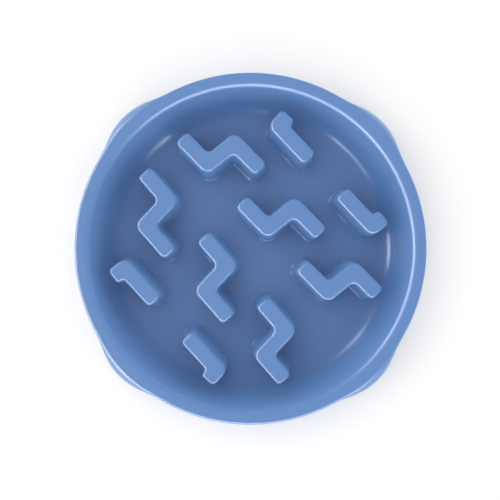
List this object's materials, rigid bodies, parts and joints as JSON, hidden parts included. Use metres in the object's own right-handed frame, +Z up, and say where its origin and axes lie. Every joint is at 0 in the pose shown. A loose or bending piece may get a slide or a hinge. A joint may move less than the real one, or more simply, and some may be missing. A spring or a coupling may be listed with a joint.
{
  "type": "slow feeder bowl",
  "caption": "Round pet bowl with a maze of hollow zigzag ridges on its floor, a flat rim, and a skirt that spreads into foot lobes with rubber pads.",
  "frame": {"origin": "on the table, under the middle of the bowl", "axes": "+Z up through the open basin; +X to the right and +Y to the back as the picture shows it, with a foot lobe on each diagonal; the maze's mirror line runs from the back left lobe to the front right lobe"},
  "size_m": [0.279, 0.279, 0.062],
  "materials": {
    "blue_plastic": "satin, as moulded",
    "grey_rubber": "matte"
  },
  "bodies": {
    "root": {"bowl_shell": "blue_plastic", "foot_pad_front_left": "grey_rubber", "foot_pad_front_right": "grey_rubber", "foot_pad_back_left": "grey_rubber", "foot_pad_back_right": "grey_rubber"}
  },
  "joints": []
}
